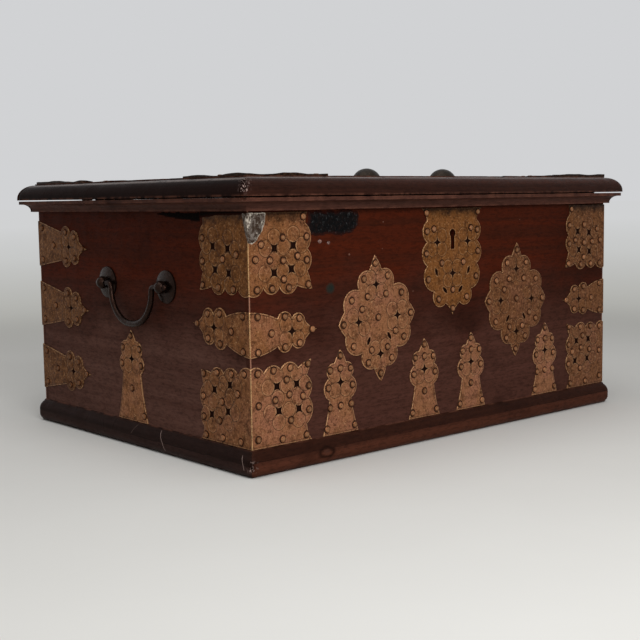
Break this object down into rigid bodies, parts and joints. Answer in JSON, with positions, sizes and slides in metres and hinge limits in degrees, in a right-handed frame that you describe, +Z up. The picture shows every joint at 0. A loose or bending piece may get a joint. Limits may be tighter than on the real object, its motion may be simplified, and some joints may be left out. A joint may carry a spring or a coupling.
{
  "type": "storage box",
  "caption": "Hinged hardwood storage box with moulded lid, rim and base, pierced scalloped brass mounts fixed by domed pins, iron drop handles on the ends and a box lock behind a keyhole plate.",
  "frame": {"origin": "centre of the bottom board's underside, on the floor", "axes": "+X to the right along the front, +Y from the front to the back, +Z up"},
  "size_m": [0.447, 0.3394, 0.2207],
  "materials": {
    "carcase_wood": "aged wax polish",
    "lid_wood": "aged wax polish",
    "brass_plate": "dull, tarnished",
    "brass_pins": "worn",
    "handle_iron": "smooth black",
    "boss_bronze": "dark patina",
    "lock_iron": "oiled dark",
    "hinge_brass": "dull, tarnished"
  },
  "bodies": {
    "case": {"front_board": "carcase_wood", "back_board": "carcase_wood", "left_end_board": "carcase_wood", "right_end_board": "carcase_wood", "bottom_board": "carcase_wood", "base_moulding_front": "carcase_wood", "base_moulding_right": "carcase_wood", "base_moulding_back": "carcase_wood", "base_moulding_left": "carcase_wood", "rim_moulding_front": "carcase_wood", "rim_moulding_right": "carcase_wood", "rim_moulding_back": "carcase_wood", "rim_moulding_left": "carcase_wood", "front_left_corner_upper": "brass_plate", "front_left_clasp": "brass_plate", "front_left_corner_lower": "brass_plate", "back_left_strap_upper": "brass_plate", "back_left_strap_middle": "brass_plate", "back_left_strap_lower": "brass_plate", "front_right_corner_upper": "brass_plate", "front_right_clasp": "brass_plate", "front_right_corner_lower": "brass_plate", "back_right_strap_upper": "brass_plate", "back_right_strap_middle": "brass_plate", "back_right_strap_lower": "brass_plate", "escutcheon": "brass_plate", "left_lozenge": "brass_plate", "right_lozenge": "brass_plate", "front_spires": "brass_plate", "left_end_spire": "brass_plate", "right_end_spire": "brass_plate", "front_pins": "brass_pins", "left_pins": "brass_pins", "right_pins": "brass_pins", "back_pins": "brass_pins", "left_roses": "handle_iron", "right_roses": "handle_iron", "left_posts": "handle_iron", "right_posts": "handle_iron", "lock_case": "lock_iron", "lock_cover": "lock_iron", "hinge_case_leaves": "hinge_brass", "hinge_pins": "hinge_brass"},
    "lid": {"lid_board": "lid_wood", "lid_moulding_front": "lid_wood", "lid_moulding_right": "lid_wood", "lid_moulding_back": "lid_wood", "lid_moulding_left": "lid_wood", "lid_corner_front_left": "brass_plate", "lid_corner_front_right": "brass_plate", "lid_corner_back_left": "brass_plate", "lid_corner_back_right": "brass_plate", "lid_centre_mount": "brass_plate", "lid_pins": "brass_pins", "lid_bosses": "boss_bronze", "lid_keeper": "lock_iron", "hinge_lid_leaves": "hinge_brass"},
    "left_bail": {"left_bail": "handle_iron"},
    "right_bail": {"right_bail": "handle_iron"},
    "lock_bolt": {"lock_bolt": "lock_iron"}
  },
  "joints": [
    {"name": "lid_hinge", "type": "hinge", "parent": "case", "child": "lid", "pos_m": [0, 0.1699, 0.1985], "axis": [-1, 0, 0], "range_deg": [0, 105]},
    {"name": "left_bail_swing", "type": "hinge", "parent": "case", "child": "left_bail", "pos_m": [-0.2158, -0.0072, 0.131], "axis": [0, 1, 0], "range_deg": [-5, 150]},
    {"name": "right_bail_swing", "type": "hinge", "parent": "case", "child": "right_bail", "pos_m": [0.2158, -0.0072, 0.131], "axis": [0, -1, 0], "range_deg": [-5, 150]},
    {"name": "lock_bolt_slide", "type": "slide", "parent": "case", "child": "lock_bolt", "axis": [1, 0, 0], "range_m": [0, 0.012]}
  ]
}
